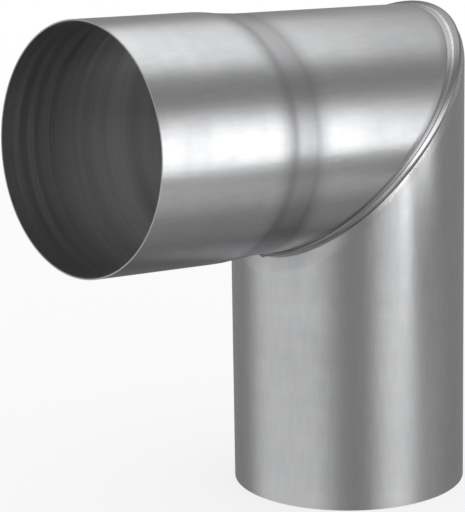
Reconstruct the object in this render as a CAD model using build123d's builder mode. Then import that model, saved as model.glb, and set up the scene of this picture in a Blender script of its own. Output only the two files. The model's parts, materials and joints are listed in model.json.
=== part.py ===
from build123d import *
import os
from math import cos, radians, sin

# An 85 degree downpipe bend of bright rolled zinc sheet.
# Two round tubes are joined at a mitre by a raised folded lock, closed with solder.
# The spigot leg stands on its lower end, on the origin, and +Z is up.
# The socket leg points to -X and rises a little to its open mouth.

# Sheet and nominal size, in millimetres and degrees
nominal_diameter = 100.0  # outside of the spigot, which slides into the next pipe
wall = 0.7
bend_angle = 85.0  # turn of the water between the two legs
spigot_leg_length = 156.0  # lower end to the crossing of the two centre lines
socket_leg_length = 144.5  # mouth to the crossing of the two centre lines
throat_margin = 6.0  # from the end of the spigot's plain stretch up to the throat
parting_length = 2.0  # oval stretch above the plain one, which keeps that a face of its own

# Socket: widened to take the next spigot, with a soft shoulder and a pressed ring
socket_play = 1.7  # on the diameter, round a spigot of the nominal size
socket_depth = 69.0  # mouth to the pressed ring at the socket's root
shoulder_length = 10.5  # stretch in which the socket closes in before the ring
shoulder_drop = 0.45  # how far it closes in there
ring_step = 0.4  # further drop at the pressed ring, to a bore as wide as the spigot
ring_length = 1.2
ring_rounding = 1.0  # inside radius of the sheet at the ring's two bends
taper_length = 14.3  # last part of the swage, down to the plain tube

# Lock: all its planes are parallel, and their offsets run along their normal,
# from the crossing of the centre lines towards the socket leg
lock_tilt = 1.8  # the heel of the lock is pressed over towards the socket leg
crease_offset = 5.9  # where the socket leg starts to flare
lock_front_offset = 4.1  # front face of the lock, on the socket leg's side
lock_back_offset = 0.9  # back face of the lock, on the spigot leg's side
foot_offset = -4.4  # where the spigot leg starts to turn over to the lock
lock_rise = 1.5  # height of the lock over the tubes
lock_drop = 0.3  # the lock sits that much lower than the socket leg's centre line
lock_rounding = 0.45  # outside radius of the folded edges
rounding_angles = (0, 45, 90)  # the roundings are drawn in flat steps between these
flare_rise = 0.45  # widening of the socket leg where it enters the lock
lock_gap = 0.08  # between the folded sheets

# Solder in the corner behind the lock, one run round the heel and one at the throat
heel_run_width = 4.8  # along the normal of the lock
heel_run_end = -1.0  # from the middle of the lock, positive to the heel
throat_run_width = 2.6
throat_run_end = -66.0
toe_depth = 0.05  # the thin edge of a run starts that far inside the sheet, which then cuts it

# Derived sizes and directions
tube_radius = nominal_diameter / 2
socket_radius = (nominal_diameter + socket_play) / 2 + wall
lock_radius = tube_radius + lock_rise
flared_radius = tube_radius + flare_rise
fall = radians(90.0 - bend_angle)
lean = radians(bend_angle / 2 + lock_tilt)
crossing = Vector(0, 0, spigot_leg_length)
socket_direction = Vector(-cos(fall), 0, sin(fall))
socket_upward = Vector(sin(fall), 0, cos(fall))
lock_normal = Vector(-sin(lean), 0, cos(lean))
lock_outward = Vector(cos(lean), 0, sin(lean))

spigot_line = Axis(origin=crossing, direction=(0, 0, 1))
socket_line = Axis(origin=crossing, direction=socket_direction)
lock_line = Axis(origin=crossing - socket_upward * lock_drop, direction=socket_direction)

ring_place = socket_leg_length - socket_depth
ring_radius = socket_radius - shoulder_drop
throat_height = spigot_leg_length + (foot_offset - tube_radius * sin(lean)) / cos(lean)
heel_height = spigot_leg_length + (foot_offset + tube_radius * sin(lean)) / cos(lean)
plain_length = throat_height - throat_margin


def lock_plane(offset):
    """Plane parallel to the lock, with its x axis from the throat to the heel."""
    return Plane(origin=crossing + lock_normal * offset, x_dir=lock_outward, z_dir=lock_normal)


def tube_cut(offset, line, radius):
    """Centre, half length and half width of a round tube's cut by a lock plane."""
    plane = lock_plane(offset)
    slope = line.direction.dot(lock_normal)
    reach = (plane.origin - line.position).dot(lock_normal) / slope
    centre = plane.to_local_coords(line.position + line.direction * reach).X
    return centre, radius / slope, radius


def cut_between(offset, start_offset, start_cut, end_offset, end_cut):
    """Cut of the sheet that runs straight from one oval to another."""
    share = (offset - start_offset) / (end_offset - start_offset)
    return [start + share * (end - start) for start, end in zip(start_cut, end_cut)]


def oval(offset, cut, growth=0.0):
    """Ellipse in the lock plane at an offset."""
    centre, half_length, half_width = cut
    with BuildSketch(lock_plane(offset)) as outline:
        with Locations((centre, 0)):
            Ellipse(half_length + growth, half_width + growth)
    return outline.sketch


def band(back, back_cut, front, front_cut, mode=Mode.ADD):
    """Bar with straight sides between the ovals in two lock planes."""
    loft([oval(back, back_cut), oval(front, front_cut)], ruled=True, mode=mode)


def tube_band(back, front, line, radius, mode=Mode.ADD):
    """Round bar along a line, between two lock planes."""
    length = (front - back) / line.direction.dot(lock_normal)
    extrude(oval(back, tube_cut(back, line, radius)), amount=length, dir=line.direction, mode=mode)


def swaged_bar(inset, mode=Mode.ADD):
    """Solid of revolution in the socket leg's outline, drawn in by the inset."""
    mitre_end = (-tube_radius, tube_radius - inset)
    taper_foot = (ring_place - taper_length, tube_radius - inset)
    ring_foot = (ring_place - ring_length, ring_radius - ring_step - inset)
    ring_head = (ring_place, ring_radius - inset)
    shoulder = (ring_place + shoulder_length, socket_radius - inset)
    mouth = (socket_leg_length, socket_radius - inset)
    with BuildSketch(Plane(origin=crossing, x_dir=socket_direction, z_dir=(0, 1, 0))) as half_section:
        with BuildLine():
            Polyline(mitre_end, taper_foot, ring_foot, ring_head)
            TangentArc(shoulder, ring_head, tangent=(-1, 0))
            Polyline(shoulder, mouth, (socket_leg_length, 0), (-tube_radius, 0), mitre_end)
        make_face()
        fillet(half_section.vertices().sort_by_distance(ring_foot)[0], radius=ring_rounding + inset)
        fillet(half_section.vertices().sort_by_distance(ring_head)[0], radius=ring_rounding + wall - inset)
    revolve(half_section.sketch, axis=socket_line, mode=mode)


# Socket leg: a swaged tube, flared at the mitre and turned out into a flange
flange_front = lock_front_offset - wall - lock_gap
flange_back = flange_front - wall
crease_cut = tube_cut(crease_offset, socket_line, tube_radius)
flared_cut = tube_cut(flange_front, lock_line, flared_radius)

with BuildPart() as socket_leg:
    swaged_bar(0)
    swaged_bar(wall, Mode.SUBTRACT)
    split(bisect_by=lock_plane(crease_offset), keep=Keep.TOP)
    band(flange_front, flared_cut, crease_offset, crease_cut)
    tube_band(flange_back, flange_front, lock_line, lock_radius - wall - lock_gap)
    band(
        flange_front,
        tube_cut(flange_front, lock_line, flared_radius - wall),
        crease_offset,
        tube_cut(crease_offset, socket_line, tube_radius - wall),
        Mode.SUBTRACT,
    )
    tube_band(flange_back, flange_front, lock_line, flared_radius - wall, Mode.SUBTRACT)
socket_leg.part.label = "socket_leg"


def upright_bar(bottom, top, radius):
    """Round bar on the spigot's line, between two heights."""
    with BuildSketch(Plane.XY.offset(bottom)) as outline:
        Circle(radius)
    extrude(outline.sketch, amount=top - bottom)


def spigot_bar(inset):
    """Plain stretch, mitred stretch and turn to the lock, drawn in by the inset."""
    radius = tube_radius - inset
    foot_cut = tube_cut(foot_offset, spigot_line, radius)
    parting_height = plain_length + parting_length
    with BuildPart() as bar:
        extrude(oval(foot_offset, foot_cut), amount=heel_height - plain_length, dir=(0, 0, -1))
        split(bisect_by=Plane.XY.offset(plain_length), keep=Keep.TOP)
        split(bisect_by=Plane.XY.offset(parting_height), keep=Keep.BOTTOM)
        upright_bar(parting_height, heel_height, radius)
        split(bisect_by=lock_plane(foot_offset), keep=Keep.BOTTOM)
        upright_bar(0, plain_length, radius)
        band(foot_offset, foot_cut, lock_back_offset, tube_cut(lock_back_offset, socket_line, radius))
    return bar.part


def collar_ovals(edge_offset, inward):
    """Outlines of the lock's collar round one folded edge, from its face inwards."""
    ovals = []
    for angle in rounding_angles:
        offset = edge_offset + inward * lock_rounding * (1 - cos(radians(angle)))
        inset = lock_rounding * (1 - sin(radians(angle)))
        ovals.append(oval(offset, tube_cut(offset, lock_line, lock_radius - inset)))
    return ovals


def flare_oval(offset):
    """Opening for the socket leg's flare, with the gap round it."""
    return oval(offset, cut_between(offset, flange_front, flared_cut, crease_offset, crease_cut), lock_gap)


# Spigot leg: a plain tube, turned over to the socket leg's line at the mitre,
# with its edge folded out, round the socket leg's flange and in again
cavity_back = lock_back_offset + wall
cavity_front = lock_front_offset - wall
outer_bar = spigot_bar(0)
inner_bar = spigot_bar(wall)

back_ovals = collar_ovals(lock_back_offset, 1)
front_ovals = collar_ovals(lock_front_offset, -1)

with BuildPart() as spigot_leg:
    loft(back_ovals + front_ovals[::-1], ruled=True)
    add(outer_bar)
    add(inner_bar, mode=Mode.SUBTRACT)
    tube_band(lock_back_offset, cavity_back, socket_line, tube_radius - wall, Mode.SUBTRACT)
    tube_band(cavity_back, cavity_front, lock_line, lock_radius - wall, Mode.SUBTRACT)
    loft([flare_oval(cavity_front), flare_oval(lock_front_offset)], ruled=True, mode=Mode.SUBTRACT)
spigot_leg.part.label = "spigot_leg"


# Solder: each run fills the corner from the turned sheet to the rounding of the lock
solder_head_cut = tube_cut(lock_back_offset, lock_line, lock_radius - lock_rounding)
turned_foot_cut = tube_cut(foot_offset, spigot_line, tube_radius)
turned_head_cut = tube_cut(lock_back_offset, socket_line, tube_radius)


def solder_run(width, end, keep):
    """Run of one width, kept on one side of a plane across the lock."""
    toe = lock_back_offset - width
    toe_cut = cut_between(toe, foot_offset, turned_foot_cut, lock_back_offset, turned_head_cut)
    toe_oval = oval(toe, toe_cut, -toe_depth)
    head_oval = oval(lock_back_offset, solder_head_cut)
    with BuildPart() as run:
        loft([toe_oval, head_oval], ruled=True)
        split(bisect_by=Plane(origin=crossing + lock_outward * end, z_dir=lock_outward), keep=keep)
        band(foot_offset, turned_foot_cut, lock_back_offset, turned_head_cut, Mode.SUBTRACT)
    return run.part


heel_run = solder_run(heel_run_width, heel_run_end, Keep.TOP)
throat_run = solder_run(throat_run_width, throat_run_end, Keep.BOTTOM)

with BuildPart() as solder:
    add(heel_run)
    add(throat_run)
solder.part.label = "solder"

os.makedirs("parts", exist_ok=True)
for piece in (socket_leg, spigot_leg, solder):
    export_step(piece.part, f"parts/{piece.part.label}.step")
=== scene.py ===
"""Dresses the packed downpipe bend: two mitred zinc tubes, their folded lock and its solder.

The studio round it has a pale floor, and panels that only the metal reflects.
"""

import json
from math import acos, cos, radians, sin

import bmesh
import bpy
from bpy.props import FloatProperty, FloatVectorProperty, IntProperty, PointerProperty
from mathutils import Matrix, Vector


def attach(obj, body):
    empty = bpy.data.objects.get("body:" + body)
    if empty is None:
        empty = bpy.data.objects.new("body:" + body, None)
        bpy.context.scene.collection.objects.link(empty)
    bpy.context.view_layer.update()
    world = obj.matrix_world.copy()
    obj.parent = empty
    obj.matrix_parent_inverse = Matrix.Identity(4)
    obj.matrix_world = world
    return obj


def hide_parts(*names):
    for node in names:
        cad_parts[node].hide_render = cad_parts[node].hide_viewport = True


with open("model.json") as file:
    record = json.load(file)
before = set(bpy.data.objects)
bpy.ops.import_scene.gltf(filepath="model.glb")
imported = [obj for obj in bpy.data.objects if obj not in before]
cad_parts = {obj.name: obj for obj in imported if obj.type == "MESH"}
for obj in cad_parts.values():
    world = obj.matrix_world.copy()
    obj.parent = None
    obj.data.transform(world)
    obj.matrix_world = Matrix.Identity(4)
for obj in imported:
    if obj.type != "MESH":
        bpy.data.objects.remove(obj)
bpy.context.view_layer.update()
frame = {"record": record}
MOUNTS = {mount["name"]: mount["dims"] for mount in frame["record"]["mounts"]}
MM = 0.001

bl_info = {
    "name": "Zinc downpipe bend",
    "version": (1, 0, 0),
    "blender": (4, 5, 0),
    "location": "View3D > Sidebar > Downpipe bend",
    "description": "Builds an 85 degree bend for round downpipes, with its lock and solder, and a studio",
    "category": "Add Mesh",
}


def length(name, description, millimetres):
    """A size in the sidebar, kept in metres."""
    default = millimetres * MM
    return FloatProperty(name=name, description=description, default=default, unit="LENGTH", precision=5)


def angle(name, description, degrees):
    """An angle in the sidebar, kept in radians."""
    return FloatProperty(name=name, description=description, default=radians(degrees), unit="ROTATION")


def share(name, description, default, top=1.0):
    """A plain factor in the sidebar."""
    return FloatProperty(name=name, description=description, default=default, min=0.0, max=top)


def colour(name, description, default):
    """A colour in the sidebar."""
    return FloatVectorProperty(
        name=name, description=description, default=default, size=3, min=0.0, max=1.0, subtype="COLOR",
    )


class BendSizes(bpy.types.PropertyGroup):
    """Sizes of the sheets and the lock: the CAD model's, with a finer crease, flare, lip and ring."""

    bend: angle("Bend", "Turn between the two legs", 85.0)
    wall: length("Sheet", "Thickness of the zinc sheet", 0.7)
    tube_radius: length("Tube radius", "Outside of the plain tubes", MOUNTS["spigot"]["r_mm"])
    bore_radius: length("Socket bore", "Inside radius of the socket", MOUNTS["socket"]["r_mm"])
    spigot_leg: length("Spigot leg", "Lower end to the crossing of the centre lines", 156.0)
    socket_leg: length("Socket leg", "Mouth to the crossing of the centre lines", 144.5)
    ring_depth: length("Ring depth", "Mouth to the pressed ring", 69.0)
    shoulder_length: length("Shoulder", "Stretch in which the socket closes in", 10.5)
    shoulder_drop: length("Shoulder drop", "How far the socket closes in there", 0.45)
    ring_step: length("Ring step", "Further drop at the pressed ring", 0.4)
    ring_length: length("Ring length", "Length of that drop", 3.0)
    ring_middle: length("Ring middle", "Its middle, from the ring towards the crossing", 0.6)
    ring_softness: length("Ring softness", "Reach of the sheet's turns at the ring", 2.4)
    taper_length: length("Taper", "Last stretch, down to the plain tube", 14.3)
    lock_tilt: angle("Lock tilt", "How far the lock leans to the socket leg", 1.8)
    crease: length("Crease", "Where the socket leg starts to flare, from the crossing", 5.3)
    lock_front: length("Lock front", "Front face of the lock, from the crossing", 4.1)
    lock_back: length("Lock back", "Back face of the lock, from the crossing", 0.9)
    foot: length("Foot", "Where the spigot leg turns over to the lock", -4.4)
    lock_rise: length("Lock rise", "Height of the lock over the tubes", 1.5)
    lock_drop: length("Lock drop", "How much the lock sits below the centre line", 0.3)
    lock_rounding: length("Lock rounding", "Rounding of the folded edges", 1.1)
    lip_front: length("Lip", "Where the lock's folded edge ends on the socket leg", 3.75)
    crease_tilt: angle("Crease tilt", "How far the crease leans more than the lock", 1.4)
    crease_width: length("Crease width", "Half width of the crease's groove", 0.5)
    crease_depth: length("Crease depth", "Depth of that groove", 0.12)
    flare_rise: length("Flare", "Widening of the socket leg at the lock", 0.9)
    lock_gap: length("Lock gap", "Gap between the folded sheets", 0.08)
    heel_run: length("Heel run", "Width of the solder round the heel", 4.8)
    heel_run_end: length("Heel run end", "Its end, from the middle of the lock", -1.0)
    throat_run: length("Throat run", "Width of the solder at the throat", 1.9)
    throat_run_end: length("Throat run end", "Its end, from the middle of the lock", -66.0)
    edge_rounding: length("Cut edges", "Rounding of the sheet's cut edges", 0.12)
    unevenness: length("Unevenness", "How far the sheet strays inwards from a true tube", 0.1)
    columns: IntProperty(name="Columns", description="Faces round a tube", default=288, min=24, max=720)
    longest_face: length("Longest face", "Longest face along a tube", 3.0)


class BendFinish(bpy.types.PropertyGroup):
    """Colours and grain of the metals, and the painted shade and light mixed into them."""

    zinc: colour("Zinc", "Bright rolled zinc", (0.63, 0.635, 0.642))
    zinc_dull: colour("Dull zinc", "The same where it has tarnished", (0.50, 0.505, 0.515))
    # The darkened zinc stands for dulling by tools and for painted shade on the crease, lip, lock top and
    # the corner behind the lock; the share after it sets both
    zinc_worked: colour("Worked zinc", "The same where tools have worked it", (0.34, 0.342, 0.35))
    wear_and_shade_strength: share("Tool wear", "How much the tools have dulled the sheet", 0.75)
    zinc_roughness: share("Zinc roughness", "Even part of its roughness", 0.3)
    brushing: share("Brushing", "How much its lines stretch the highlights", 0.55)
    inside_roughness: share("Roughness inside", "The same inside the tubes", 0.42)
    # Painted shade inside the tubes near their open ends, and painted light further in
    painted_shade_at_mouth: colour("Zinc at the mouth", "Inside of the socket leg at its mouth", (0.36, 0.365, 0.375))
    painted_light_inside: colour("Zinc inside", "Inside of the bend", (0.93, 0.93, 0.935))
    line_depth: share("Line depth", "Strength of the lines' relief", 0.05)
    solder: colour("Solder", "Wiped tin solder", (0.74, 0.74, 0.735))
    tinned: colour("Tinned zinc", "The sheet where a film of solder wets it", (0.82, 0.82, 0.81))
    # Painted shadow in the corner behind the lock and in the crease
    painted_shade: colour("Shadow", "Dirt in the corner behind the lock and in the crease", (0.1, 0.1, 0.1))
    solder_roughness: share("Solder roughness", "Even part of its roughness", 0.26)
    lump: share("Lumps", "How uneven the solder runs are", 0.35)
    seed: IntProperty(name="Seed", description="Picks the lumps and the unevenness", default=4)


class BendStudio(bpy.types.PropertyGroup):
    """Floor, and what the metal reflects."""

    floor: colour("Floor", "Pale floor", (0.9, 0.9, 0.9))
    dusk: share("Dark walls", "What the metal reflects between the panels", 0.28)
    side: share("Side panel", "Panel low on the left", 0.5, 4.0)
    front: share("Front panel", "Strip low in front", 0.66, 4.0)
    panel_beside: share("Panel beside", "Panel beside the socket leg", 2.2, 4.0)
    panel_over: share("Panel over", "Panel over the far side of the bend", 1.55, 4.0)
    card_beside: share("Card beside", "Card that keeps the side panel off the spigot leg", 0.26, 4.0)
    low: share("Low panel", "Panel that the socket leg's underside reflects", 0.2, 4.0)


# The bend's lines and planes

# A rounding's two ends, and one more oval beyond each: the largest share of the way to the next corner,
# and the reach in lengths of the rounding
ROUNDING_OVALS = ((0.45, 1.0), (0.49, 1.3))


class Row:
    """One oval of a sheet: its centre, its half axis towards the heel, its half width and its marks."""

    def __init__(self, centre, reach, half_width, marks=(0, 0, 0)):
        self.centre, self.reach, self.half_width = centre, reach, half_width
        self.marks = Vector(marks)

    def marked(self, inside=0.0, worked=0.0, tinned=0.0):
        """The same oval, with how much it is inside the tube, dulled by tools and darkened by painted shade,
        and wetted with solder.
        """
        return Row(self.centre, self.reach, self.half_width, (inside, worked, tinned))

    def towards(self, other, part):
        """The oval that lies a part of the way to another one."""
        return Row(
            self.centre.lerp(other.centre, part),
            self.reach.lerp(other.reach, part),
            self.half_width + part * (other.half_width - self.half_width),
            self.marks.lerp(other.marks, part),
        )

    def distance(self, other):
        """How far two ovals lie apart at the side."""
        return Vector(((self.centre - other.centre).length, self.half_width - other.half_width)).length


class Bend:
    """The centre lines, the lock's planes and the ovals that they cut from the tubes."""

    def __init__(self, sizes):
        lean = sizes.bend / 2 + sizes.lock_tilt
        fall = radians(90) - sizes.bend
        self.crossing = Vector((0, 0, sizes.spigot_leg))
        self.normal = Vector((-sin(lean), 0, cos(lean)))
        self.outward = Vector((cos(lean), 0, sin(lean)))
        towards_mouth = Vector((-cos(fall), 0, sin(fall)))
        upward = Vector((sin(fall), 0, cos(fall)))
        self.spigot_line = (self.crossing, Vector((0, 0, 1)), Vector((1, 0, 0)))
        self.socket_line = (self.crossing, towards_mouth, upward)
        self.lock_line = (self.crossing - upward * sizes.lock_drop, towards_mouth, upward)

    def ring(self, line, along, radius):
        """Round section of a tube, at a length along its centre line."""
        origin, direction, upward = line
        return Row(origin + direction * along, upward * radius, radius)

    def cut(self, offset, line, radius, tilt=0.0):
        """Oval that the lock's plane at an offset, or one tilted against it, cuts from a round tube."""
        origin, direction, _ = line
        turn = Matrix.Rotation(-tilt, 3, "Y")
        normal, outward = turn @ self.normal, turn @ self.outward
        slope = direction.dot(normal)
        reach = (self.crossing + self.normal * offset - origin).dot(normal) / slope
        return Row(origin + direction * reach, outward * (radius / slope), radius)

    def side_angle(self, row, outward_place):
        """Angle round an oval, from the heel, at which it passes a place across the lock."""
        middle = (row.centre - self.crossing).dot(self.outward)
        return acos((outward_place - middle) / row.reach.length)


def inner(corners):
    """The same corners, marked as the inside of the tube."""
    return [(row.marked(inside=1.0), rounding) for row, rounding in corners]


def rounded(corners, longest, steps=6):
    """Closed run of ovals through corners, each a pair of an oval and the length of its rounding."""
    count = len(corners)
    runs = []
    for index, (corner, rounding) in enumerate(corners):
        before, after = corners[index - 1][0], corners[(index + 1) % count][0]
        if not rounding:
            runs.append([corner])
            continue
        start, end, lead, tail = (
            corner.towards(other, min(limit, reach * rounding / corner.distance(other)))
            for limit, reach in ROUNDING_OVALS
            for other in (before, after)
        )
        bow = [
            start.towards(corner, step / steps).towards(corner.towards(end, step / steps), step / steps)
            for step in range(steps + 1)
        ]
        runs.append([lead, *bow, tail])
    rows = []
    for index, run in enumerate(runs):
        rows += run
        following = runs[(index + 1) % count][0]
        pieces = int(run[-1].distance(following) / longest) + 1
        rows += [run[-1].towards(following, piece / pieces) for piece in range(1, pieces)]
    return rows + [rows[0]]


# Geometry Nodes: every sheet is a grid whose rows lie on ovals

# Noise of the solder's lumps, which swell it above a level, and of the sheets' unevenness
LUMP_DETAIL = 3.0
LUMP_LEVEL = 0.6
UNEVEN_DETAIL = 1.5

# A run with a shorter fade, in radians, ends square, and points this near to each other are welded
LEAST_FADE = 1e-5
WELD = 0.001 * MM


def socket(tree, name, kind, default=None):
    """Named input of a node tree."""
    place = tree.interface.new_socket(name=name, in_out="INPUT", socket_type="NodeSocket" + kind)
    if default is not None:
        place.default_value = default


def link(tree, value, target):
    """Joins an output to an input, or writes a plain value into it."""
    if isinstance(value, bpy.types.NodeSocket):
        tree.links.new(value, target)
    else:
        target.default_value = value


def made(tree, kind, **inputs):
    """Node with its inputs set or linked."""
    node = tree.nodes.new(kind)
    for title, value in inputs.items():
        link(tree, value, node.inputs[title.replace("_", " ")])
    return node


def sums(tree, operation, first, second=0.0, third=None):
    """Math node."""
    node = tree.nodes.new("ShaderNodeMath")
    node.operation = operation
    for place, value in enumerate((first, second, third)):
        if value is not None:
            link(tree, value, node.inputs[place])
    return node.outputs[0]


def times(tree, first, second):
    """Product of two values."""
    return sums(tree, "MULTIPLY", first, second)


def scaled(tree, value, factor, start):
    """Value times a factor, added to a start."""
    return sums(tree, "MULTIPLY_ADD", value, factor, start)


def vectors(tree, operation, first, second=None, scale=None):
    """Vector Math node."""
    node = tree.nodes.new("ShaderNodeVectorMath")
    node.operation = operation
    link(tree, first, node.inputs[0])
    if second is not None:
        link(tree, second, node.inputs[1])
    if scale is not None:
        link(tree, scale, node.inputs["Scale"])
    return node.outputs["Value" if operation == "LENGTH" else "Vector"]


def eased(tree, value, low, high, kind="SMOOTHSTEP"):
    """Value from 0 to 1 between two bounds."""
    node = made(tree, "ShaderNodeMapRange", Value=value, From_Min=low, From_Max=high)
    node.interpolation_type = kind
    return node.outputs["Result"]


def read_row(tree, section, row, name, kind="FLOAT_VECTOR"):
    """A stored value of one row of the section."""
    stored = made(tree, "GeometryNodeInputNamedAttribute", Name=name)
    stored.data_type = kind
    sample = made(tree, "GeometryNodeSampleIndex", Geometry=section, Index=row)
    sample.data_type = kind
    link(tree, stored.outputs["Attribute"], sample.inputs["Value"])
    return sample.outputs["Value"]


def point_on_row(tree, section, row, turn):
    """Point at an angle round one row: centre + reach * cos + half width * sin."""
    centre = read_row(tree, section, row, "centre")
    reach = read_row(tree, section, row, "reach")
    half_width = read_row(tree, section, row, "half_width", "FLOAT")
    across = times(tree, half_width, sums(tree, "SINE", turn))
    side = made(tree, "ShaderNodeCombineXYZ", Y=across).outputs[0]
    lengthwise = vectors(tree, "SCALE", reach, scale=sums(tree, "COSINE", turn))
    return centre, vectors(tree, "ADD", centre, vectors(tree, "ADD", lengthwise, side))


def seeded_noise(tree, point, size, seed, detail):
    """Noise over a point, with grains of a size, in a pattern that the seed picks."""
    point = vectors(tree, "SCALE", point, scale=sums(tree, "DIVIDE", 1.0, size))
    node = made(tree, "ShaderNodeTexNoise", Vector=point, Scale=1.0, Detail=detail)
    node.noise_dimensions = "4D"
    link(tree, seed, node.inputs["W"])
    return node.outputs["Fac"]


def store(tree, geometry, name, kind, domain, value):
    """The geometry with a value kept on it as a named attribute."""
    node = made(tree, "GeometryNodeStoreNamedAttribute", Geometry=geometry, Name=name)
    node.data_type = kind
    node.domain = domain
    link(tree, value, node.inputs["Value"])
    return node.outputs[0]


def sheet_tree():
    """Tree that lays a sheet through the rows of a section, all round or between two angles."""
    tree = bpy.data.node_groups.new("Sheet on ovals", "GeometryNodeTree")
    tree.is_modifier = True
    tree.interface.new_socket(name="Geometry", in_out="OUTPUT", socket_type="NodeSocketGeometry")
    socket(tree, "Section", "Geometry")
    socket(tree, "Columns", "Int", 288)
    for name, default in (
        ("Start", 0.0), ("End", radians(360)), ("Fade", 0.0), ("Lumps", 0.0), ("Lump size", 4 * MM),
        ("Unevenness", 0.0), ("Uneven size", 45 * MM),
    ):
        socket(tree, name, "Float", default)
    socket(tree, "Seed", "Int", 0)
    socket(tree, "Metal", "Material")
    given = tree.nodes.new("NodeGroupInput").outputs
    section = given["Section"]

    # A grid with a row for each oval, whose points know their row and their angle round it
    count = made(tree, "GeometryNodeAttributeDomainSize", Geometry=section).outputs["Point Count"]
    verticals = sums(tree, "ADD", given["Columns"], 1.0)
    grid = made(tree, "GeometryNodeMeshGrid", Vertices_X=count, Vertices_Y=verticals)
    index = tree.nodes.new("GeometryNodeInputIndex").outputs[0]
    row = sums(tree, "FLOOR", sums(tree, "DIVIDE", sums(tree, "ADD", index, 0.5), verticals))
    column = sums(tree, "SUBTRACT", index, times(tree, row, verticals))
    part = sums(tree, "DIVIDE", column, given["Columns"])
    whole = sums(tree, "SUBTRACT", given["End"], given["Start"])
    turn = scaled(tree, part, whole, given["Start"])

    # The run fades towards its two ends, down to its first oval
    centre, point = point_on_row(tree, section, row, turn)
    _, root = point_on_row(tree, section, 0, turn)
    from_start = sums(tree, "SUBTRACT", turn, given["Start"])
    from_end = sums(tree, "MINIMUM", from_start, sums(tree, "SUBTRACT", given["End"], turn))
    fading = eased(tree, from_end, 0.0, sums(tree, "MAXIMUM", given["Fade"], LEAST_FADE))
    fading = sums(tree, "MAXIMUM", fading, sums(tree, "LESS_THAN", given["Fade"], LEAST_FADE))
    lumps = seeded_noise(tree, point, given["Lump size"], given["Seed"], LUMP_DETAIL)
    swell = times(tree, sums(tree, "SUBTRACT", lumps, LUMP_LEVEL), given["Lumps"])
    growth = times(tree, fading, sums(tree, "ADD", 1.0, swell))
    grown = vectors(tree, "SCALE", vectors(tree, "SUBTRACT", point, root), scale=growth)

    # The noise runs from 0 to 1, so the sheet strays inwards only
    uneven = seeded_noise(tree, point, given["Uneven size"], given["Seed"], UNEVEN_DETAIL)
    stray = times(tree, sums(tree, "SUBTRACT", uneven, 1.0), given["Unevenness"])
    outwards = vectors(tree, "NORMALIZE", vectors(tree, "SUBTRACT", point, centre))
    strayed = vectors(tree, "SCALE", outwards, scale=stray)
    position = vectors(tree, "ADD", vectors(tree, "ADD", root, grown), strayed)
    laid = made(tree, "GeometryNodeSetPosition", Geometry=grid.outputs["Mesh"], Position=position)

    # The UV map unrolls the sheet: the length along it, and the angle round it
    unrolled = made(tree, "ShaderNodeCombineXYZ", X=read_row(tree, section, row, "along", "FLOAT"), Y=turn)
    at_points = tree.nodes.new("GeometryNodeFieldOnDomain")
    at_points.data_type = "FLOAT_VECTOR"
    at_points.domain = "POINT"
    link(tree, unrolled.outputs[0], at_points.inputs[0])
    mapped = store(tree, laid.outputs[0], "UVMap", "FLOAT2", "CORNER", at_points.outputs[0])
    marks = read_row(tree, section, row, "marks")
    marked = store(tree, mapped, "marks", "FLOAT_VECTOR", "POINT", marks)

    weld = made(tree, "GeometryNodeMergeByDistance", Geometry=marked, Distance=WELD)
    smooth = made(tree, "GeometryNodeSetShadeSmooth", Geometry=weld.outputs[0])
    real = made(tree, "GeometryNodeRealizeInstances", Geometry=smooth.outputs[0])
    paint = made(tree, "GeometryNodeSetMaterial", Geometry=real.outputs[0], Material=given["Metal"])
    link(tree, paint.outputs[0], tree.nodes.new("NodeGroupOutput").inputs[0])
    return tree


def section_of(name, rows):
    """Line of points, one for each oval, with the oval's measures stored on it."""
    mesh = bpy.data.meshes.new(name)
    mesh.from_pydata([row.centre for row in rows], [(i, i + 1) for i in range(len(rows) - 1)], [])
    walked, along = 0.0, []
    for before, row in zip([rows[0]] + rows, rows):
        walked += before.distance(row)
        along.append(walked)
    for title in ("centre", "reach", "marks"):
        values = [part for row in rows for part in getattr(row, title)]
        mesh.attributes.new(title, "FLOAT_VECTOR", "POINT").data.foreach_set("vector", values)
    for title, values in (("half_width", [row.half_width for row in rows]), ("along", along)):
        mesh.attributes.new(title, "FLOAT", "POINT").data.foreach_set("value", values)
    return mesh


def sheet(name, rows, metal, **inputs):
    """Plain mesh of a sheet through closed rows, made by the node tree."""
    tree = bpy.data.node_groups.get("Sheet on ovals") or sheet_tree()
    section = section_of(name + "_section", rows)
    holder = bpy.data.objects.new(section.name, section)
    bpy.context.scene.collection.objects.link(holder)
    modifier = holder.modifiers.new("Sheet", "NODES")
    modifier.node_group = tree
    items = [item for item in tree.interface.items_tree if item.in_out == "INPUT"]
    places = {item.name: item.identifier for item in items}
    for title, value in {"Metal": metal, **inputs}.items():
        modifier[places[title]] = value
    shown = holder.evaluated_get(bpy.context.evaluated_depsgraph_get())
    mesh = bpy.data.meshes.new_from_object(shown)
    bpy.data.objects.remove(holder)
    mesh.name = name
    shell = bmesh.new()
    shell.from_mesh(mesh)
    if shell.calc_volume(signed=True) < 0:
        bmesh.ops.reverse_faces(shell, faces=shell.faces)
        shell.to_mesh(mesh)
    shell.free()
    if not mesh.polygons:
        raise RuntimeError(name + " has no faces")
    return mesh


def stand_in(mesh, node):
    """Object for a mesh that stands for a CAD node and rides where it rode."""
    piece = bpy.data.objects.new(mesh.name, mesh)
    bpy.context.scene.collection.objects.link(piece)
    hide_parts(node)
    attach(piece, "root")


# Metals

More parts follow.
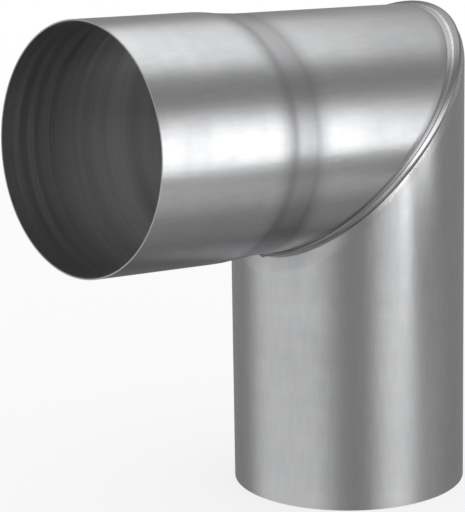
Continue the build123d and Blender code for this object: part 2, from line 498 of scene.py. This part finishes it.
# Patterns of the metals: stretch of the place, whose Z runs along a tube, and scale, detail and roughness
PATTERNS = {
    "fine_lines": ((9, 9, 1900), 1.0, 3.0, 0.6),
    "broad_lines": ((6, 6, 240), 1.0, 2.0, 0.5),
    "cloud": ((1, 1, 1.6), 34.0, 4.0, 0.55),
    "mottle": ((5, 5, 1), 85.0, 4.0, 0.6),
    "grain": (None, 1500.0, 3.0, 0.6),
    "spots": (None, 330.0, 2.0, 0.5),
    "patches": (None, 75.0, 2.0, 0.5),
    "ragged": (None, 620.0, 3.0, 0.6),
    "pits": (None, 1300.0, 2.0, 0.6),
    "solder_lumps": (None, 420.0, 3.0, 0.55),
    "solder_grain": (None, 1600.0, 3.0, 0.6),
    "flux": (None, 260.0, 3.0, 0.6),
}

# What the zinc's patterns add to its tarnish, its roughness and its relief
FINE_LINES_SHARE = 0.55
LINES_INSIDE = 3.0
LINES_ON_INSIDE_TONE = 0.3
TARNISH = 0.25
TARNISH_ADDED = {"cloud": 0.7, "lines": 0.45, "grain": 0.3, "mottle": 0.9, "inside": 0.2}
ROUGHNESS_ADDED = {"lines": 0.1, "cloud": 0.12, "worked": 0.05}
RELIEF_ADDED = {"grain": 0.5, "mottle": 11.0, "worked_grain": 2.0, "film": 3.0}
LINE_HEIGHT = 0.05 * MM

# Marked zinc: heights on the tube over which its low and high side begin, where painted shade on the marked
# places grows, how much less the rollers dulled it inside, and the patchy painted shadow in the corner and
# crease
LOW_SIDE = (-15 * MM, -40 * MM)
HIGH_SIDE = (5 * MM, 35 * MM)
WEAR_INSIDE = -0.6
PAINTED_SHADE_SPOTS = 1.4
PAINTED_SHADE_EDGE = (1.15, 1.7)
PAINTED_SHADE_ON_LOW_SIDE = -0.75

# How far the rollers dulled the socket leg, by millimetres from the taper's end, the ring and the shoulder
ROLLED = (
    ((-10, 0.0), (-5, 0.3), (-1.5, 0.7), (0.5, 1.0), (3, 0.75)),
    ((-4, 0.7), (-1, 0.95), (0.5, 1.0), (2.5, 0.7), (4.5, 0.35)),
    ((-3, 0.12), (1, 0.0)),
)

# Film of solder on the zinc
FILM_SPAN = (-50 * MM, 50 * MM)
FILM_PATCHES = 0.8
FILM_RAGGEDNESS = 0.5
FILM_EDGE = (0.4, 0.7)
FILM_PIT_EDGE = (0.34, 0.5)
FILM_PIT_COLOUR = (0.58, 0.58, 0.57)
FILM_SWELL = 2.0

# Solder runs: their pits and flux, and X at the throat over which painted shade darkens them
PIT_CELLS = 430.0
PIT_RADIUS = (0.08, 0.22)
PIT_DARKNESS = 0.8
PIT_DEPTH = 0.9
FLUX_EDGE = (0.56, 0.68)
FLUX_DARKNESS = 0.45
SPOT_COLOUR = (0.24, 0.235, 0.225)
THROAT_SHADE_EDGE = (-38 * MM, -44 * MM)
THROAT_SHADE_COLOUR = (0.26, 0.262, 0.268)
LUMP_ROUGHNESS = 0.2
LEAST_ROUGHNESS = -0.08
SPOT_ROUGHNESS = 0.25
SOLDER_GRAIN = 0.3
SOLDER_BUMP = 0.5
SOLDER_HEIGHT = 0.25 * MM


def shader(tree, kind, **inputs):
    """Shader node with its inputs set or linked."""
    return made(tree, "ShaderNode" + kind, **inputs)


def emptied(owner):
    """A new material or world whose node tree is empty, and that tree."""
    owner.use_nodes = True
    owner.node_tree.nodes.clear()
    return owner, owner.node_tree


def pattern(tree, place, title):
    """Noise pattern at a place, from 0 to 1."""
    stretch, scale, detail, roughness = PATTERNS[title]
    if stretch:
        place = vectors(tree, "MULTIPLY", place, stretch)
    node = shader(tree, "TexNoise", Vector=place, Scale=scale, Detail=detail, Roughness=roughness)
    return node.outputs["Fac"]


def centred(tree, value):
    """Pattern that runs from -0.5 to 0.5."""
    return sums(tree, "SUBTRACT", value, 0.5)


def added(tree, start, values, shares):
    """Start, plus each named value times its share."""
    for title, amount in shares.items():
        start = scaled(tree, values[title], amount, start)
    return start


def ramp(tree, value, low, high, stops):
    """Grey levels along a value between two bounds."""
    node = shader(tree, "ValToRGB", Fac=eased(tree, value, low, high, "LINEAR"))
    elements = node.color_ramp.elements
    elements[0].position, elements[1].position = stops[0][0], stops[-1][0]
    for place, _ in stops[1:-1]:
        elements.new(place)
    for element, (_, level) in zip(elements, stops):
        element.color = (level, level, level, 1)
    return node.outputs[0]


def blend(tree, factor, first, second):
    """Mix of two colours."""
    node = tree.nodes.new("ShaderNodeMix")
    node.data_type = "RGBA"
    link(tree, factor, node.inputs[0])
    for value, target in ((first, node.inputs[6]), (second, node.inputs[7])):
        link(tree, value if isinstance(value, bpy.types.NodeSocket) else (*value, 1), target)
    return node.outputs[2]


def mixed(tree, factor, first, second):
    """Mix of two shaders."""
    node = shader(tree, "MixShader", Fac=factor)
    link(tree, first.outputs[0], node.inputs[1])
    link(tree, second.outputs[0], node.inputs[2])
    return node


def drawing_marks(sizes):
    """How far the rollers dulled the sheet, by the place along the socket leg from the crossing."""
    ring = sizes.socket_leg - sizes.ring_depth
    starts = (ring - sizes.taper_length, ring, ring + sizes.shoulder_length)
    return [(start + past * MM, level) for start, marks in zip(starts, ROLLED) for past, level in marks]


def tube_place(tree, origin, turned):
    """Place on a tube, whose centre line is Z and whose upper side is +X."""
    place = shader(tree, "TexCoord").outputs["Object"]
    mapping = shader(tree, "Mapping", Vector=place, Location=origin, Rotation=(0, turned, 0))
    mapping.vector_type = "TEXTURE"
    return mapping.outputs[0]


def stored_marks(tree):
    """How much the sheet is inside the tube, dulled by tools and darkened by painted shade, and wetted with
    solder.
    """
    stored = shader(tree, "Attribute")
    stored.attribute_name = "marks"
    marks = shader(tree, "SeparateXYZ", Vector=stored.outputs["Vector"]).outputs
    return marks["X"], marks["Y"], marks["Z"]


def brushed_lines(tree, place, inside):
    """Fine lines round the tube, stronger inside it."""
    fine, broad = pattern(tree, place, "fine_lines"), pattern(tree, place, "broad_lines")
    broad = times(tree, broad, 1 - FINE_LINES_SHARE)
    lines = centred(tree, scaled(tree, fine, FINE_LINES_SHARE, broad))
    return times(tree, lines, scaled(tree, inside, LINES_INSIDE, 1.0))


def rolled_wear(tree, along, inside, marks):
    """How far the rollers have dulled the sheet along the tube, less so inside it."""
    first, last = marks[0][0], marks[-1][0]
    stops = [((place - first) / (last - first), level) for place, level in marks]
    rolled = ramp(tree, along, first, last, stops)
    return times(tree, rolled, scaled(tree, inside, WEAR_INSIDE, 1.0))


def solder_film(tree, place, height, tinned, reach):
    """How far a film of solder covers the sheet at each height, its pits and its uneven height."""
    ragged = pattern(tree, place, "ragged")
    patches = centred(tree, pattern(tree, place, "patches"))
    tinned = scaled(tree, patches, FILM_PATCHES, tinned)
    tinned = scaled(tree, centred(tree, ragged), FILM_RAGGEDNESS, tinned)
    reached = ramp(tree, height, *FILM_SPAN, reach)
    tinned = times(tree, eased(tree, tinned, *FILM_EDGE), reached)
    pits = eased(tree, pattern(tree, place, "pits"), *FILM_PIT_EDGE)
    return tinned, pits, scaled(tree, ragged, FILM_SWELL, pits)


def metal_surface(tree, base, rough, relief, strength, height, **more):
    """Bare metal with a relief, at the material's output."""
    normal = shader(tree, "Bump", Strength=strength, Distance=height, Height=relief).outputs[0]
    given = {"Base_Color": base, "Roughness": rough, "Metallic": 1.0, "Normal": normal, **more}
    shader(tree, "OutputMaterial", Surface=shader(tree, "BsdfPrincipled", **given).outputs[0])


def zinc_material(name, finish, origin, turned, shade, painted_side_shade, film_reach, marks=()):
    """Rolled zinc of a tube that starts at the origin and is turned about Y.

    Shade is where its inside turns from painted shade at the mouth to painted light further in, the side
    shade what painted shade its low and high side add to the marked places, film_reach how far the solder's
    film goes by height, and marks how far the rollers dulled it along the tube.
    """
    material, tree = emptied(bpy.data.materials.new(name))
    place = tube_place(tree, origin, turned)
    directions = shader(tree, "SeparateXYZ", Vector=place).outputs
    height, along = directions["X"], directions["Z"]
    inside, stored_worked, tinned = stored_marks(tree)
    lines = brushed_lines(tree, place, inside)
    values = {"lines": lines, "inside": inside}
    for title in ("cloud", "grain", "mottle"):
        values[title] = centred(tree, pattern(tree, place, title))

    tarnish = added(tree, TARNISH, values, TARNISH_ADDED)
    tarnish = sums(tree, "MINIMUM", sums(tree, "MAXIMUM", tarnish, 0.0), 1.0)
    base = blend(tree, tarnish, finish.zinc, finish.zinc_dull)
    # Painted shade inside near the open end and painted light further in
    painted_inside_tone = scaled(tree, lines, LINES_ON_INSIDE_TONE, eased(tree, along, *shade))
    base = blend(tree, inside, base, blend(tree, painted_inside_tone, finish.painted_shade_at_mouth, finish.painted_light_inside))

    # Dulling by the rollers and the folding tools, with painted shade on the crease, the lip and the lock's
    # top that the side shade makes stronger, and a patchy painted shadow in the corner behind the lock and
    # in the crease
    lowness, highness = eased(tree, height, *LOW_SIDE), eased(tree, height, *HIGH_SIDE)
    worked = stored_worked
    if marks:
        worked = sums(tree, "MAXIMUM", worked, rolled_wear(tree, along, inside, marks))
    # Painted shade: the marks are scaled by the side of the tube, mostly up on the low side and on the
    # spigot leg's heel side
    more = scaled(tree, lowness, painted_side_shade[0], scaled(tree, highness, painted_side_shade[1], 1.0))
    worn_and_shaded = times(tree, times(tree, worked, more), finish.wear_and_shade_strength)
    base = blend(tree, sums(tree, "MINIMUM", worn_and_shaded, 1.0), base, finish.zinc_worked)
    # Patchy painted shadow where the marks are strongest, in the corner behind the lock and in the crease
    spots = centred(tree, pattern(tree, place, "spots"))
    painted_shade = eased(tree, scaled(tree, spots, PAINTED_SHADE_SPOTS, stored_worked), *PAINTED_SHADE_EDGE)
    painted_shade = times(tree, painted_shade, scaled(tree, lowness, PAINTED_SHADE_ON_LOW_SIDE, 1.0))
    base = blend(tree, painted_shade, base, finish.painted_shade)

    tinned, pits, swell = solder_film(tree, place, height, tinned, film_reach)
    base = blend(tree, tinned, base, blend(tree, pits, FILM_PIT_COLOUR, finish.tinned))
    worked_grain = times(tree, values["grain"], worked)
    values.update(worked=worked, worked_grain=worked_grain, film=times(tree, swell, tinned))
    even = finish.zinc_roughness
    rough = scaled(tree, inside, finish.inside_roughness - even, even)
    rough = added(tree, rough, values, ROUGHNESS_ADDED)
    rough = scaled(tree, tinned, finish.solder_roughness - even, rough)
    relief = added(tree, lines, values, RELIEF_ADDED)
    tangent = tree.nodes.new("ShaderNodeTangent")
    tangent.direction_type = "UV_MAP"
    tangent.uv_map = "UVMap"
    lined = {"Anisotropic": finish.brushing, "Tangent": tangent.outputs[0]}
    metal_surface(tree, base, rough, relief, finish.line_depth, LINE_HEIGHT, **lined)
    return material


def solder_material(finish):
    """Wiped tin solder: soft lumps, small pits and a few dark spots of flux, with painted shade at the
    throat.
    """
    material, tree = emptied(bpy.data.materials.new("wiped_solder"))
    place = shader(tree, "TexCoord").outputs["Object"]
    lumps = pattern(tree, place, "solder_lumps")
    cells = shader(tree, "TexVoronoi", Vector=place, Scale=PIT_CELLS).outputs["Distance"]
    pits = sums(tree, "SUBTRACT", 1.0, eased(tree, cells, *PIT_RADIUS))
    flux = eased(tree, pattern(tree, place, "flux"), *FLUX_EDGE)
    dark_pits = times(tree, pits, PIT_DARKNESS)
    dark = sums(tree, "MAXIMUM", dark_pits, times(tree, flux, FLUX_DARKNESS))
    base = blend(tree, dark, finish.solder, SPOT_COLOUR)
    # Painted shade on the run at the throat
    throat = eased(tree, shader(tree, "SeparateXYZ", Vector=place).outputs["X"], *THROAT_SHADE_EDGE)
    base = blend(tree, throat, base, THROAT_SHADE_COLOUR)
    rough = scaled(tree, lumps, LUMP_ROUGHNESS, finish.solder_roughness + LEAST_ROUGHNESS)
    rough = scaled(tree, dark, SPOT_ROUGHNESS, rough)
    height = sums(tree, "SUBTRACT", lumps, times(tree, pits, PIT_DEPTH))
    height = scaled(tree, pattern(tree, place, "solder_grain"), SOLDER_GRAIN, height)
    metal_surface(tree, base, rough, height, SOLDER_BUMP, SOLDER_HEIGHT)
    return material


# Sheets

# Socket leg: steps of the shoulder's curve, of which some are drawn, and the taper's brow, in shares of it
SHOULDER_STEPS, SHOULDER_ROWS = 6, 4
BROW_PLACE, BROW_RISE = 0.75, 0.66
TAPER_SOFTNESS = 1.5

# Lengths over which the sheets turn, at the folds and creases
SHARP_TURN, CREASE_TURN, BACK_TURN, FRONT_TURN = 0.1 * MM, 0.15 * MM, 0.25 * MM, 0.3 * MM
BEAD_TURN, INNER_CREASE_TURN, FOOT_TURN = 0.7 * MM, 0.7 * MM, 1.2 * MM

# Top of the lock: how far its edges lie lower, in shares of its rounding
EDGE_DROP = 0.4

# Shares of the way from the crease into the lock: the flare's start, then its worn and tinned places
FLARE_START, FLARE_WORN, FLARE_TINNED = 0.2, 0.3, 0.5

# Shares of the way from the lock's corner to the foot: end of the painted shadow below the lock, the full
# film and its fade
PAINTED_SHADOW_END, FILM_FULL, FILM_FADE = 0.22, 0.3, 0.62

# Solder: its upper edge in shares of the lock's rise, the hollow of its face, and how its runs fade out
SOLDER_RISE = 0.53
HOLLOW_PLACE, HOLLOW_DEPTH, FACE_STEPS = 0.45, 0.35, 10
HEEL_FADE, THROAT_FADE = radians(30), radians(9)


def swage(bend, sizes, inset):
    """Ovals of the socket, its shoulder, ring and taper, from the mouth inwards, with their roundings."""
    ring, softness = sizes.socket_leg - sizes.ring_depth, sizes.ring_softness
    drop_start = ring - sizes.ring_middle + sizes.ring_length / 2
    outside = sizes.bore_radius + sizes.wall - inset
    foot_radius = outside - sizes.shoulder_drop - sizes.ring_step
    tube = sizes.tube_radius - inset
    corners = [(sizes.socket_leg, outside, sizes.edge_rounding)]
    for step in range(SHOULDER_ROWS):
        part = step / SHOULDER_STEPS
        place = ring + sizes.shoulder_length * (1 - part)
        corners.append((place, outside - sizes.shoulder_drop * part**2, 0))
    corners += [
        (drop_start, outside - sizes.shoulder_drop, softness),
        (drop_start - sizes.ring_length, foot_radius, softness),
        (ring - BROW_PLACE * sizes.taper_length, foot_radius + BROW_RISE * (tube - foot_radius), softness),
        (ring - sizes.taper_length, tube, TAPER_SOFTNESS * softness),
    ]
    return [(bend.ring(bend.socket_line, along, radius), rounding) for along, radius, rounding in corners]


def socket_leg_rows(bend, sizes):
    """Outline of the socket leg's sheet: from the mouth to the flange in the lock, and back inside."""
    radius = sizes.tube_radius
    flange_front = sizes.lock_front - sizes.wall - sizes.lock_gap
    flange_back = flange_front - sizes.wall
    flange_radius = radius + sizes.lock_rise - sizes.wall - sizes.lock_gap
    flared = radius + sizes.flare_rise

    def crease(beyond, height):
        return bend.cut(sizes.crease + beyond, bend.socket_line, height, sizes.crease_tilt)

    def fold(offset, height):
        return bend.cut(offset, bend.lock_line, height)

    flare_end = fold(flange_front, flared)
    flare_start = crease(0, radius).towards(flare_end, FLARE_START)
    outside = [
        # Painted shade in the crease's groove, and the flare dulled by the folding tools
        (crease(sizes.crease_width, radius).marked(worked=0.1), 0),
        (crease(0, radius - sizes.crease_depth).marked(worked=1.0), CREASE_TURN),
        (flare_start.marked(worked=0.6), SHARP_TURN),
        (flare_start.towards(flare_end, FLARE_WORN).marked(worked=0.5), 0),
        (flare_start.towards(flare_end, FLARE_TINNED).marked(worked=0.2, tinned=0.9), 0),
        (flare_end.marked(tinned=0.9), SHARP_TURN),
        (fold(flange_front, flange_radius), 0),
    ]
    inside = [
        (fold(flange_back, flange_radius), 0),
        (fold(flange_back, flared - sizes.wall), SHARP_TURN),
        (fold(flange_front, flared - sizes.wall), 0),
        (crease(0, radius - sizes.wall), INNER_CREASE_TURN),
    ]
    corners = swage(bend, sizes, 0) + outside + inner(inside + swage(bend, sizes, sizes.wall)[::-1])
    return rounded(corners, sizes.longest_face)


def spigot_leg_rows(bend, sizes):
    """Outline of the spigot leg's sheet: from the lower end round the folds of the lock, and back inside."""
    radius, bore = sizes.tube_radius, sizes.tube_radius - sizes.wall
    top = radius + sizes.lock_rise
    edge = top - EDGE_DROP * sizes.lock_rounding
    flange_front = sizes.lock_front - sizes.wall - sizes.lock_gap
    cavity_back, cavity_front = sizes.lock_back + sizes.wall, sizes.lock_front - sizes.wall
    lower_end = -sizes.spigot_leg

    def fold(offset, height):
        return bend.cut(offset, bend.lock_line, height)

    flare_end = fold(flange_front, radius + sizes.flare_rise)
    crease = bend.cut(sizes.crease, bend.socket_line, radius, sizes.crease_tilt)

    def lip(offset):
        row = flare_end.towards(crease, (offset - flange_front) / (sizes.crease - flange_front))
        grown = row.reach.normalized() * sizes.lock_gap
        return Row(row.centre, row.reach + grown, row.half_width + sizes.lock_gap)

    corner = bend.cut(sizes.lock_back, bend.socket_line, radius)
    foot = bend.cut(sizes.foot, bend.spigot_line, radius)

    outside = [
        (bend.ring(bend.spigot_line, lower_end, radius), sizes.edge_rounding),
        (foot, FOOT_TURN),
        (corner.towards(foot, FILM_FADE).marked(tinned=0.5), 0),
        (corner.towards(foot, FILM_FULL).marked(tinned=1.0), 0),
        # Painted shadow in the corner behind the lock and just below it, and painted shade on the lock's top
        # and lip
        (corner.towards(foot, PAINTED_SHADOW_END).marked(worked=1.7), 0),
        (corner.marked(worked=2.0), SHARP_TURN),
        (fold(sizes.lock_back, edge).marked(worked=0.3), BACK_TURN),
        (fold(sizes.lock_back + sizes.lock_rounding, top).marked(worked=0.25), BEAD_TURN),
        (fold(sizes.lip_front, edge).marked(worked=0.35), FRONT_TURN),
        (lip(sizes.lip_front).marked(worked=0.8), SHARP_TURN),
    ]
    inside = [
        (lip(cavity_front), 0),
        (fold(cavity_front, top - sizes.wall), 0),
        (fold(cavity_back, top - sizes.wall), 0),
        *((bend.cut(offset, bend.socket_line, bore), 0) for offset in (cavity_back, sizes.lock_back)),
        (bend.cut(sizes.foot, bend.spigot_line, bore), FOOT_TURN),
        (bend.ring(bend.spigot_line, lower_end, bore), sizes.edge_rounding),
    ]
    return rounded(outside + inner(inside), sizes.longest_face)


def solder_rows(bend, sizes, width):
    """Outline of a solder run: the corner behind the lock, up to its rounding and down a hollow face."""
    radius = sizes.tube_radius
    corner = bend.cut(sizes.lock_back, bend.socket_line, radius)
    foot = bend.cut(sizes.foot, bend.spigot_line, radius)
    brow = bend.cut(sizes.lock_back, bend.lock_line, radius + SOLDER_RISE * sizes.lock_rise)
    toe = corner.towards(foot, width / (sizes.lock_back - sizes.foot))
    hollow = brow.towards(toe, HOLLOW_PLACE).towards(corner, HOLLOW_DEPTH)
    parts = [step / FACE_STEPS for step in range(FACE_STEPS + 1)]
    face = [brow.towards(hollow, part).towards(hollow.towards(toe, part), part) for part in parts]
    return [corner, *face, corner]


# Operators

def build_leg(name, rows, metal, scene):
    """One leg's sheet, in the place of its CAD node."""
    sizes = scene.bend_sizes
    settings = {"Columns": sizes.columns, "Unevenness": sizes.unevenness, "Seed": scene.bend_finish.seed}
    stand_in(sheet(name + "_sheet", rows, metal, **settings), name)


class BEND_OT_socket_leg(bpy.types.Operator):
    """Builds the socket leg: the widened tube with its ring, flared and turned out at the mitre"""

    bl_idname = "bend.socket_leg"
    bl_label = "Socket leg"

    def execute(self, context):
        sizes, finish = context.scene.bend_sizes, context.scene.bend_finish
        bend = Bend(sizes)
        # Painted shade inside at the mouth, painted light further in, and more painted shade on the
        # underside
        metal = zinc_material(
            "rolled_zinc_socket_leg", finish, bend.crossing, -sizes.bend,
            shade=(sizes.socket_leg, 0.45 * sizes.socket_leg), painted_side_shade=(1.0, -0.1),
            film_reach=[(0.6, 0), (0.8, 1)], marks=drawing_marks(sizes),
        )
        build_leg("socket_leg", socket_leg_rows(bend, sizes), metal, context.scene)
        return {"FINISHED"}


class BEND_OT_spigot_leg(bpy.types.Operator):
    """Builds the spigot leg: the plain tube, turned over at the mitre and folded round the flange"""

    bl_idname = "bend.spigot_leg"
    bl_label = "Spigot leg and lock"

    def execute(self, context):
        sizes, finish = context.scene.bend_sizes, context.scene.bend_finish
        bend = Bend(sizes)
        # Painted shade inside at the lower end, painted light further in, and more painted shade on both
        # sides, most at the heel
        metal = zinc_material(
            "rolled_zinc_spigot_leg", finish, (0, 0, 0), 0,
            shade=(0.3 * sizes.spigot_leg, 0.6 * sizes.spigot_leg), painted_side_shade=(1.0, 3.5),
            film_reach=[(0.2, 0), (0.32, 1), (0.45, 1), (0.52, 0.5)],
        )
        build_leg("spigot_leg", spigot_leg_rows(bend, sizes), metal, context.scene)
        return {"FINISHED"}


class BEND_OT_solder(bpy.types.Operator):
    """Builds the two solder runs in the corner behind the lock"""

    bl_idname = "bend.solder"
    bl_label = "Solder runs"

    def execute(self, context):
        sizes, finish = context.scene.bend_sizes, context.scene.bend_finish
        bend = Bend(sizes)
        corner = bend.cut(sizes.lock_back, bend.socket_line, sizes.tube_radius)
        heel_end = bend.side_angle(corner, sizes.heel_run_end)
        throat_end = bend.side_angle(corner, sizes.throat_run_end)
        metal = solder_material(finish)
        both = bmesh.new()
        for title, width, start, end, fade, columns in (
            ("heel_run", sizes.heel_run, -heel_end, heel_end, HEEL_FADE, 360),
            ("throat_run", sizes.throat_run, throat_end, radians(360) - throat_end, THROAT_FADE, 120),
        ):
            run = sheet(
                title, solder_rows(bend, sizes, width), metal,
                Columns=columns, Start=start, End=end, Fade=fade, Lumps=finish.lump, Seed=finish.seed,
            )
            both.from_mesh(run)
            bpy.data.meshes.remove(run)
        mesh = bpy.data.meshes.new("solder_runs")
        both.to_mesh(mesh)
        both.free()
        mesh.materials.append(metal)
        stand_in(mesh, "solder")
        return {"FINISHED"}


# Studio

WHITE = (1, 1, 1, 1)

# Room that the metal reflects, by bearing and height in degrees: windows of light, each with its middle
# and the two ends of its soft edge, and a darker side
WINDOWS = {
    "side": ((-105, 24, 62), (-17, 18, 38)),
    "front": ((5, 3, 34), (-17, 14, 30)),
    "low": ((42, 12, 40), (-33, 5, 16)),
}
DARK_BEARING, DARK_HEIGHT, DARK_SIDE = (62, 105), (-8, -48), -0.55
ROOM_LIGHT = 0.95

# Floor, in metres: its half side, where it fades out, and how white the camera sees it
FLOOR_HALF = 1.2
FLOOR_FADE = (0.35, 1.1)
FLOOR_WHITENESS = 0.75

# Panels that only the metal reflects: in metres the middle, half the width and half the height, and
# then the soft shares of the width and of the height at their two ends
PANELS = (
    ("panel_beside", (0.135, -0.3276, 0.239), (0.097, 0.083, 0.07), (0, 0, 0.1875),
     (0.08, 0.36), (0.08, 0.6)),
    ("card_beside", (0.0922, -0.1296, 0.0915), (0.0562, 0.0481, 0), (0, 0, 0.0335),
     (0.09, 0.15), (0.15, 0.105)),
    ("panel_over", (0.245, 0.13, 0.523), (0, 0.34, 0), (0.183, 0, -0.17),
     (0.22, 0.36), (0.2, 0.8)),
)

# Camera, in metres, degrees and millimetres
CAMERA_PLACE = (-0.83191, -0.89159, 0.42821)
CAMERA_YAW, CAMERA_PITCH, CAMERA_ROLL = 40.6899, 15.1198, -0.9755
CAMERA_LENS, CAMERA_SENSOR = 206.04, 36
CAMERA_CLIP = (0.05, 20)


def window(tree, value, middle, inner, outer):
    """1 within an inner distance of the middle, falling softly to 0 at the outer one."""
    away = sums(tree, "ABSOLUTE", sums(tree, "SUBTRACT", value, radians(middle)))
    return sums(tree, "SUBTRACT", 1.0, eased(tree, away, radians(inner), radians(outer)))


def studio_world(studio):
    """White for the camera, even for the floor, and dark walls with soft panels for the metal."""
    world, tree = emptied(bpy.data.worlds.new("studio"))
    way = vectors(tree, "NORMALIZE", shader(tree, "TexCoord").outputs["Generated"])
    way = shader(tree, "SeparateXYZ", Vector=way).outputs
    height = sums(tree, "ARCSINE", way["Z"])
    bearing = sums(tree, "ARCTAN2", way["X"], times(tree, way["Y"], -1.0))
    turned = eased(tree, bearing, *map(radians, DARK_BEARING))
    darker = times(tree, turned, eased(tree, height, *map(radians, DARK_HEIGHT)))
    level = scaled(tree, darker, DARK_SIDE * studio.dusk, studio.dusk)
    for title, (across, up) in WINDOWS.items():
        light = times(tree, window(tree, bearing, *across), window(tree, height, *up))
        level = scaled(tree, light, getattr(studio, title), level)
    even, walls, white = (
        shader(tree, "Background", Color=WHITE, Strength=strength) for strength in (ROOM_LIGHT, level, 1.0)
    )
    rays = shader(tree, "LightPath").outputs
    seen = mixed(tree, rays["Is Camera Ray"], mixed(tree, rays["Is Glossy Ray"], even, walls), white)
    shader(tree, "OutputWorld", Surface=seen.outputs[0])
    return world


def floor_material(studio):
    """Pale matt floor that keeps a soft shadow and runs out into the white."""
    material, tree = emptied(bpy.data.materials.new("pale_floor"))
    matt = shader(tree, "BsdfDiffuse", Color=(*studio.floor, 1))
    white = shader(tree, "Emission", Color=WHITE, Strength=1.0)
    seen = times(tree, shader(tree, "LightPath").outputs["Is Camera Ray"], FLOOR_WHITENESS)
    place = shader(tree, "TexCoord").outputs["Object"]
    away = times(tree, vectors(tree, "LENGTH", place), FLOOR_HALF)
    clear = shader(tree, "BsdfTransparent")
    faded = mixed(tree, eased(tree, away, *FLOOR_FADE), mixed(tree, seen, matt, white), clear)
    shader(tree, "OutputMaterial", Surface=faded.outputs[0])
    return material


def panel_material(name, strength, soft_across, soft_up):
    """Softly lit panel that fades out at its edges, by shares of its width and height."""
    material, tree = emptied(bpy.data.materials.new(name))
    place = shader(tree, "SeparateXYZ", Vector=shader(tree, "TexCoord").outputs["Object"])
    level = 1.0
    for axis, ends in (("X", soft_across), ("Y", soft_up)):
        for way, soft in zip((-1.0, 1.0), ends):
            edge = times(tree, place.outputs[axis], way)
            level = times(tree, level, eased(tree, edge, 1.0, 1.0 - 2 * soft))
    glow = shader(tree, "Emission", Color=WHITE, Strength=strength)
    faded = mixed(tree, level, shader(tree, "BsdfTransparent"), glow)
    shader(tree, "OutputMaterial", Surface=faded.outputs[0])
    return material


def stage_piece(name, middle, across, up, material):
    """Flat stage piece, from its middle and its two half sides."""
    mesh = bpy.data.meshes.new(name)
    mesh.from_pydata([(-1, -1, 0), (1, -1, 0), (1, 1, 0), (-1, 1, 0)], [], [(0, 1, 2, 3)])
    mesh.materials.append(material)
    piece = bpy.data.objects.new(name, mesh)
    bpy.context.scene.collection.objects.link(piece)
    facing = Vector(across).cross(Vector(up)).normalized()
    turn = Matrix((across, up, facing)).transposed().to_4x4()
    piece.matrix_world = Matrix.Translation(middle) @ turn
    return piece


class BEND_OT_studio(bpy.types.Operator):
    """Sets the pale floor, the room and the panels that the metal reflects, and the camera"""

    bl_idname = "bend.studio"
    bl_label = "Studio"

    def execute(self, context):
        scene = context.scene
        studio = scene.bend_studio
        scene.world = studio_world(studio)
        matt = floor_material(studio)
        floor = stage_piece("floor", (0, 0, 0), (FLOOR_HALF, 0, 0), (0, FLOOR_HALF, 0), matt)
        floor.visible_glossy = False

        for title, middle, across, up, soft_across, soft_up in PANELS:
            glow = panel_material(title, getattr(studio, title), soft_across, soft_up)
            panel = stage_piece(title, middle, across, up, glow)
            panel.visible_camera = panel.visible_diffuse = panel.visible_shadow = False

        scene.view_settings.view_transform = "Standard"
        view = bpy.data.cameras.new("camera")
        view.sensor_width, view.lens = CAMERA_SENSOR, CAMERA_LENS
        view.clip_start, view.clip_end = CAMERA_CLIP
        camera = bpy.data.objects.new("camera", view)
        scene.collection.objects.link(camera)
        yaw, pitch, roll = (radians(degrees) for degrees in (CAMERA_YAW, CAMERA_PITCH, CAMERA_ROLL))
        turn = Matrix.Rotation(-yaw, 4, "Z") @ Matrix.Rotation(radians(90) - pitch, 4, "X")
        turn = turn @ Matrix.Rotation(roll, 4, "Z")
        camera.matrix_world = Matrix.Translation(CAMERA_PLACE) @ turn
        scene.camera = camera
        return {"FINISHED"}


class BEND_PT_panel(bpy.types.Panel):
    """Buttons and sizes of the bend"""

    bl_idname = "BEND_PT_panel"
    bl_label = "Downpipe bend"
    bl_space_type = "VIEW_3D"
    bl_region_type = "UI"
    bl_category = "Downpipe bend"

    def draw(self, context):
        for operator in OPERATORS:
            self.layout.operator(operator.bl_idname)
        for title in GROUPS:
            settings = getattr(context.scene, title)
            box = self.layout.box()
            for name in settings.bl_rna.properties.keys():
                if name not in ("rna_type", "name"):
                    box.prop(settings, name)


OPERATORS = (BEND_OT_socket_leg, BEND_OT_spigot_leg, BEND_OT_solder, BEND_OT_studio)
GROUPS = {"bend_sizes": BendSizes, "bend_finish": BendFinish, "bend_studio": BendStudio}
CLASSES = (*GROUPS.values(), *OPERATORS, BEND_PT_panel)


def register():
    for kind in CLASSES:
        bpy.utils.register_class(kind)
    for title, kind in GROUPS.items():
        setattr(bpy.types.Scene, title, PointerProperty(type=kind))


def unregister():
    for title in GROUPS:
        delattr(bpy.types.Scene, title)
    for kind in reversed(CLASSES):
        bpy.utils.unregister_class(kind)


def main():
    register()
    bpy.ops.bend.socket_leg()
    bpy.ops.bend.spigot_leg()
    bpy.ops.bend.solder()
    bpy.ops.bend.studio()


if __name__ == "__main__":
    main()
